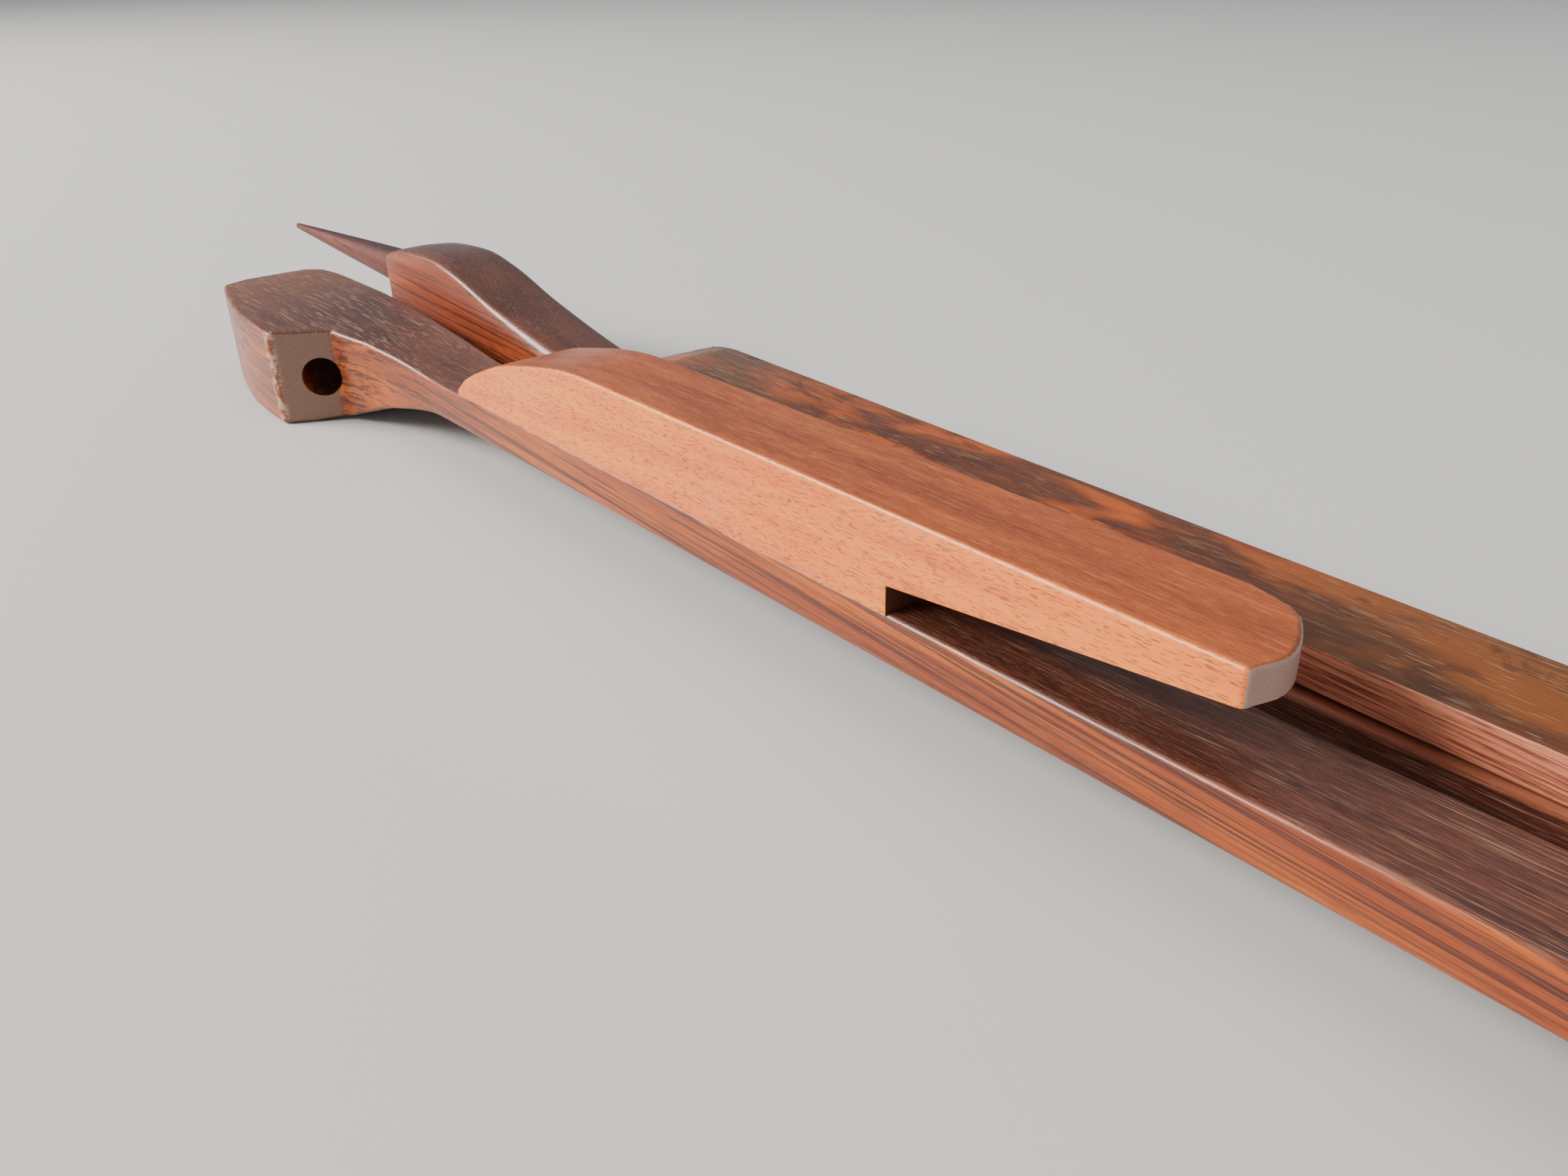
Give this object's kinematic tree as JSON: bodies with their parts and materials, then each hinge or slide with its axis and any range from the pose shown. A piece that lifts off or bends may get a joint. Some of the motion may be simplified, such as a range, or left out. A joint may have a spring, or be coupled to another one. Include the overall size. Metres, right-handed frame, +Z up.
{
  "type": "folding hand loom",
  "caption": "Folding wooden hand-loom bars: hinged arms whose heads become feet, a bored socket, a spike, a slotted keeper block and a swinging flat bar.",
  "frame": {"origin": "middle of the folded set's footprint, on the surface it stands on", "axes": "+X along the arms from the spike to the knuckles, +Y from the front arm to the rear arm, +Z up"},
  "size_m": [0.5678, 0.0806, 0.0404],
  "materials": {
    "dark_hardwood": "oiled, open-pored, worn edges",
    "beech": "fine flecked, oiled",
    "beech_dowel": "plain",
    "amber_hardwood": "old varnish, worn and stained",
    "spike_hardwood": "smooth, darkened",
    "brass": "dull, aged"
  },
  "bodies": {
    "front_arm": {"front_arm": "dark_hardwood", "keeper_block": "beech", "keeper_dowel_1": "beech_dowel", "keeper_dowel_2": "beech_dowel", "rest_peg": "dark_hardwood", "fold_pin": "brass", "fold_washer_front": "brass", "fold_spacer": "brass", "fold_washer_rear": "brass", "fold_burr": "brass"},
    "rear_arm": {"rear_arm": "dark_hardwood", "spike": "spike_hardwood", "spike_key": "beech_dowel", "bar_pivot_pin": "brass", "bar_washer_middle": "brass", "bar_washer_top": "brass", "bar_burr": "brass"},
    "top_bar": {"top_bar": "amber_hardwood"}
  },
  "joints": [
    {"name": "arm_fold", "type": "hinge", "parent": "front_arm", "child": "rear_arm", "pos_m": [0.2641, -0.01847, 0.0198], "axis": [0, 1, 0], "range_deg": [0, 180]},
    {"name": "bar_swing", "type": "hinge", "parent": "rear_arm", "child": "top_bar", "pos_m": [0.2221, 0.01943, 0.022], "axis": [0, 0, -1], "range_deg": [0, 120]}
  ]
}
